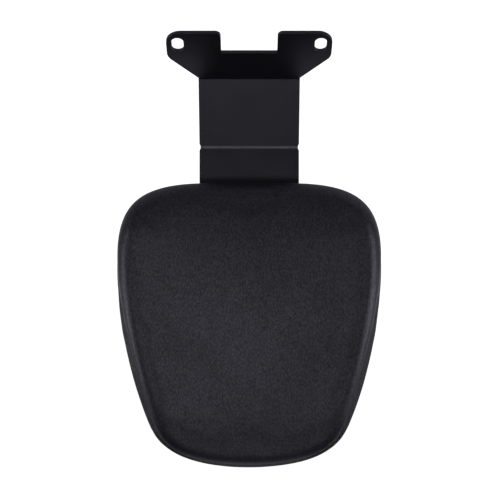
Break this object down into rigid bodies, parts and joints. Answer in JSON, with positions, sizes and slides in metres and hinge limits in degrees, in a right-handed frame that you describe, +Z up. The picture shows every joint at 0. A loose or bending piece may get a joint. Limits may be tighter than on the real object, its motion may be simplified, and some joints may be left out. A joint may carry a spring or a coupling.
{
  "type": "motorbike passenger backrest",
  "caption": "Padded passenger backrest on a folded black steel bracket with slotted ears, bolted behind a leatherette pad.",
  "frame": {"origin": "midway between the centres of the two bolt slots, on the underside of the bracket's foot", "axes": "+X across the bike, +Y to the rear, +Z up along the mounting bolts; the pad's face looks forward and up"},
  "size_m": [0.1914, 0.2011, 0.25],
  "materials": {
    "powder_coat": "satin",
    "leatherette": "satin",
    "pad_foam": "matte",
    "board_wood": "matte",
    "lining_cloth": "matte",
    "bolt_steel": "satin",
    "zinc_plate": "satin"
  },
  "bodies": {
    "root": {"mounting_bracket": "powder_coat", "base_board": "board_wood", "foam_core": "pad_foam", "pad_cover": "leatherette", "back_lining": "lining_cloth", "pad_bolt_1": "bolt_steel", "pad_bolt_2": "bolt_steel", "pad_bolt_3": "bolt_steel", "pad_bolt_4": "bolt_steel", "flat_washer_1": "bolt_steel", "flat_washer_2": "bolt_steel", "flat_washer_3": "bolt_steel", "flat_washer_4": "bolt_steel", "lock_washer_1": "bolt_steel", "lock_washer_2": "bolt_steel", "lock_washer_3": "bolt_steel", "lock_washer_4": "bolt_steel", "tee_nut_1": "zinc_plate", "tee_nut_2": "zinc_plate", "tee_nut_3": "zinc_plate", "tee_nut_4": "zinc_plate"}
  },
  "joints": []
}
